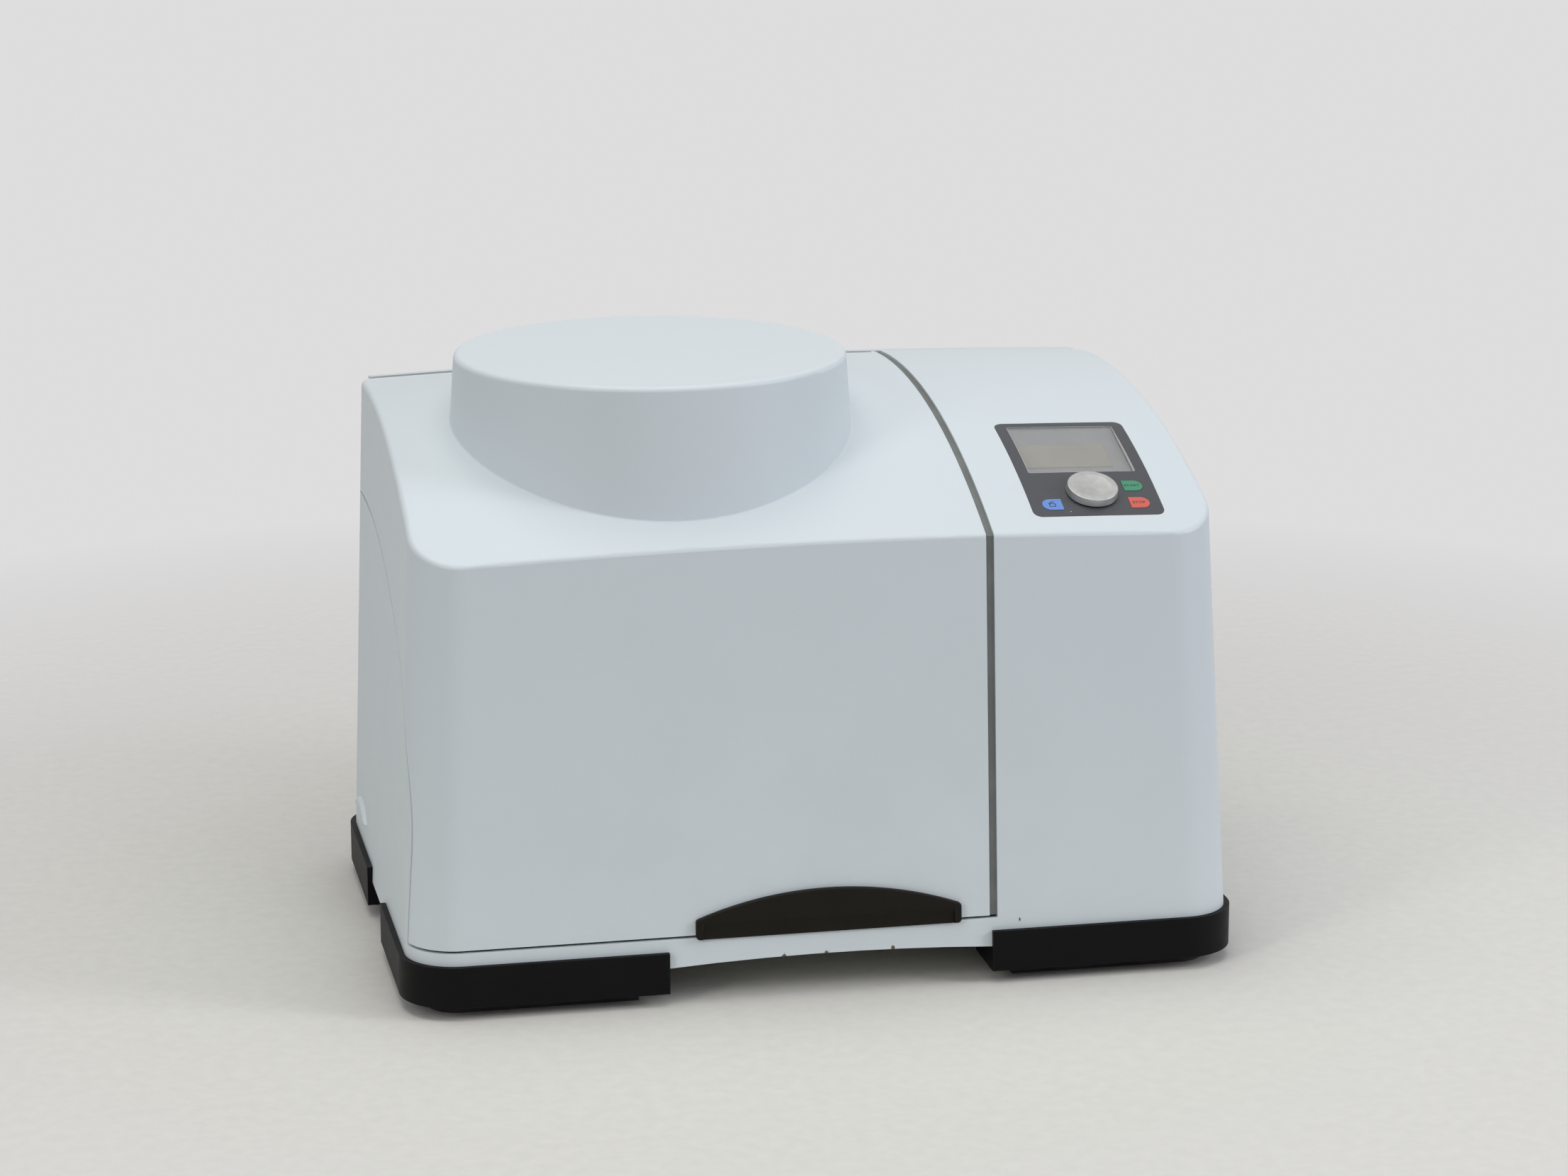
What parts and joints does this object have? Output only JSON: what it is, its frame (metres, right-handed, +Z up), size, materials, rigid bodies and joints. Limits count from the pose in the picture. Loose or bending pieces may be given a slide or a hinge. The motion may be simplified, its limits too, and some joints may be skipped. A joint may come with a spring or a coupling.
{
  "type": "planetary ball mill",
  "caption": "Bench planetary ball mill with a domed hinged lid, a grinding station on a sun wheel, and a control tower beside it.",
  "frame": {"origin": "on the floor, midway between the four corner feet", "axes": "+Z up, +X towards the control tower, +Y towards the lid hinge; the operator stands at -Y"},
  "size_m": [0.63, 0.415, 0.4482],
  "materials": {
    "housing_shell": "fine structured paint, pale grey",
    "rear_sheet": "powder coated sheet",
    "foot_casting": "moulded, matt black",
    "sole_rubber": "matt black rubber",
    "seal_rubber": "dark grey rubber",
    "strip_rubber": "grey rubber",
    "deck_plastic": "dark grey moulding",
    "steel": "turned and brushed",
    "pin_steel": "ground",
    "aluminium": "machined, clear anodised",
    "casting": "grey casting, machined seats",
    "belt_rubber": "ribbed belt",
    "motor_paint": "dark blue-grey paint",
    "zinc": "zinc plated",
    "fascia_film": "anthracite film",
    "window": "clear window",
    "display": "grey frame with an olive liquid crystal field",
    "board": "green solder mask",
    "black_plastic": "black moulding",
    "handle_plastic": "brown-black moulding",
    "knob_metal": "satin spun",
    "key_green": "green key",
    "key_red": "red key",
    "key_blue": "blue key",
    "inverter_case": "dark grey case",
    "jar_steel": "turned stainless steel"
  },
  "bodies": {
    "frame": {"housing": "housing_shell", "rear_cover": "rear_sheet", "base_plate": "zinc", "corner_feet": "foot_casting", "foot_soles": "sole_rubber", "groove_strip": "strip_rubber", "chamber_housing": "deck_plastic", "chamber_gasket": "seal_rubber", "hinge_beam": "zinc", "hinge_pins": "pin_steel", "bearing_block": "casting", "sun_bearings": "pin_steel", "fixed_pulley": "aluminium", "drive_belt": "belt_rubber", "motor_bracket": "zinc", "motor_housing": "motor_paint", "frame_screws": "zinc", "panel_fascia": "fascia_film", "display_window": "window", "display_module": "display", "control_board": "board", "lock_housing": "black_plastic", "drive_inverter": "inverter_case", "power_entry": "black_plastic", "fan_frame": "black_plastic"},
    "lid": {"lid_shell": "housing_shell", "lid_sleeve": "deck_plastic", "lid_handle": "handle_plastic", "hinge_lid_leaves": "zinc", "lock_striker": "pin_steel"},
    "sun_wheel": {"sun_shaft": "steel", "sun_pulley": "aluminium", "sun_disc": "steel", "sun_wheel_screws": "zinc", "planet_cartridge": "steel", "planet_bearings": "pin_steel", "planet_belt": "belt_rubber", "counterweight_rail": "steel"},
    "counterweight": {"counterweight": "steel"},
    "counterweight_knob": {"counterweight_knob": "black_plastic"},
    "jar_station": {"planet_shaft": "steel", "planet_pulley": "aluminium", "jar_holder": "steel", "grinding_jar": "jar_steel", "jar_seal": "seal_rubber", "jar_lid": "jar_steel", "clamp_bridge": "steel"},
    "clamp_pad": {"clamp_pad": "black_plastic"},
    "clamp_spindle": {"clamp_spindle": "steel", "clamp_handwheel": "black_plastic"},
    "motor_rotor": {"motor_shaft": "pin_steel", "motor_pulley": "aluminium"},
    "lock_bolt": {"lock_bolt": "pin_steel"},
    "encoder_shaft": {"encoder_shaft": "pin_steel"},
    "control_knob": {"control_knob": "knob_metal"},
    "start_key": {"start_key": "key_green"},
    "stop_key": {"stop_key": "key_red"},
    "lid_release_key": {"lid_release_key": "key_blue"},
    "power_switch": {"power_switch": "black_plastic"},
    "fan_rotor": {"fan_rotor": "black_plastic"}
  },
  "joints": [
    {"name": "lid_hinge", "type": "hinge", "parent": "frame", "child": "lid", "pos_m": [0, 0.184, 0.399], "axis": [-1, 0, 0], "range_deg": [0, 70]},
    {"name": "sun_spin", "type": "hinge", "parent": "frame", "child": "sun_wheel", "pos_m": [-0.0955, 0, 0.1], "axis": [0, 0, 1], "continuous": true},
    {"name": "planet_spin", "type": "hinge", "parent": "sun_wheel", "child": "jar_station", "pos_m": [-0.0955, -0.0705, 0.16], "axis": [0, 0, 1], "continuous": true},
    {"name": "motor_spin", "type": "hinge", "parent": "frame", "child": "motor_rotor", "pos_m": [0.205, 0.02, 0.1], "axis": [0, 0, 1], "continuous": true},
    {"name": "counterweight_slide", "type": "slide", "parent": "sun_wheel", "child": "counterweight", "axis": [0, 0.9397, 0.342], "range_m": [-0.014, 0.014]},
    {"name": "counterweight_knob_spin", "type": "hinge", "parent": "counterweight", "child": "counterweight_knob", "pos_m": [-0.0955, 0.078, 0.18347], "axis": [0, -0.342, 0.9397], "range_deg": [0, 360]},
    {"name": "clamp_slide", "type": "slide", "parent": "jar_station", "child": "clamp_pad", "axis": [0, 0, 1], "range_m": [0, 0.006]},
    {"name": "clamp_spin", "type": "hinge", "parent": "clamp_pad", "child": "clamp_spindle", "pos_m": [-0.0955, -0.0705, 0.35], "axis": [0, 0, 1], "range_deg": [0, 1080]},
    {"name": "lock_bolt_slide", "type": "slide", "parent": "frame", "child": "lock_bolt", "axis": [-1, 0, 0], "range_m": [0, 0.014]},
    {"name": "knob_push", "type": "slide", "parent": "frame", "child": "encoder_shaft", "axis": [-0.0302, 0.3837, -0.923], "range_m": [0, 0.0006], "stiffness_N_per_m": 1500, "springref_m": -0.0008},
    {"name": "knob_spin", "type": "hinge", "parent": "encoder_shaft", "child": "control_knob", "pos_m": [0.2117, -0.13588, 0.35367], "axis": [0.0302, -0.3837, 0.923], "continuous": true},
    {"name": "start_key_push", "type": "slide", "parent": "frame", "child": "start_key", "axis": [-0.0351, 0.3727, -0.9273], "range_m": [0, 0.0005], "stiffness_N_per_m": 1200, "springref_m": -0.0006},
    {"name": "stop_key_push", "type": "slide", "parent": "frame", "child": "stop_key", "axis": [-0.0351, 0.4021, -0.9149], "range_m": [0, 0.0005], "stiffness_N_per_m": 1200, "springref_m": -0.0006},
    {"name": "lid_release_key_push", "type": "slide", "parent": "frame", "child": "lid_release_key", "axis": [-0.0254, 0.4027, -0.915], "range_m": [0, 0.0005], "stiffness_N_per_m": 1200, "springref_m": -0.0006},
    {"name": "power_switch_rock", "type": "hinge", "parent": "frame", "child": "power_switch", "pos_m": [0.19, 0.2, 0.092], "axis": [-1, 0, 0], "range_deg": [0, 8]},
    {"name": "fan_spin", "type": "hinge", "parent": "frame", "child": "fan_rotor", "pos_m": [0.205, 0.19, 0.236], "axis": [0, 1, 0], "continuous": true}
  ],
  "couplings": [
    {"joint": "planet_spin", "follows": "sun_spin", "ratio": -2},
    {"joint": "motor_spin", "follows": "sun_spin", "ratio": 2.5},
    {"joint": "clamp_spin", "follows": "clamp_slide", "rad_per_m": 3141.6}
  ]
}
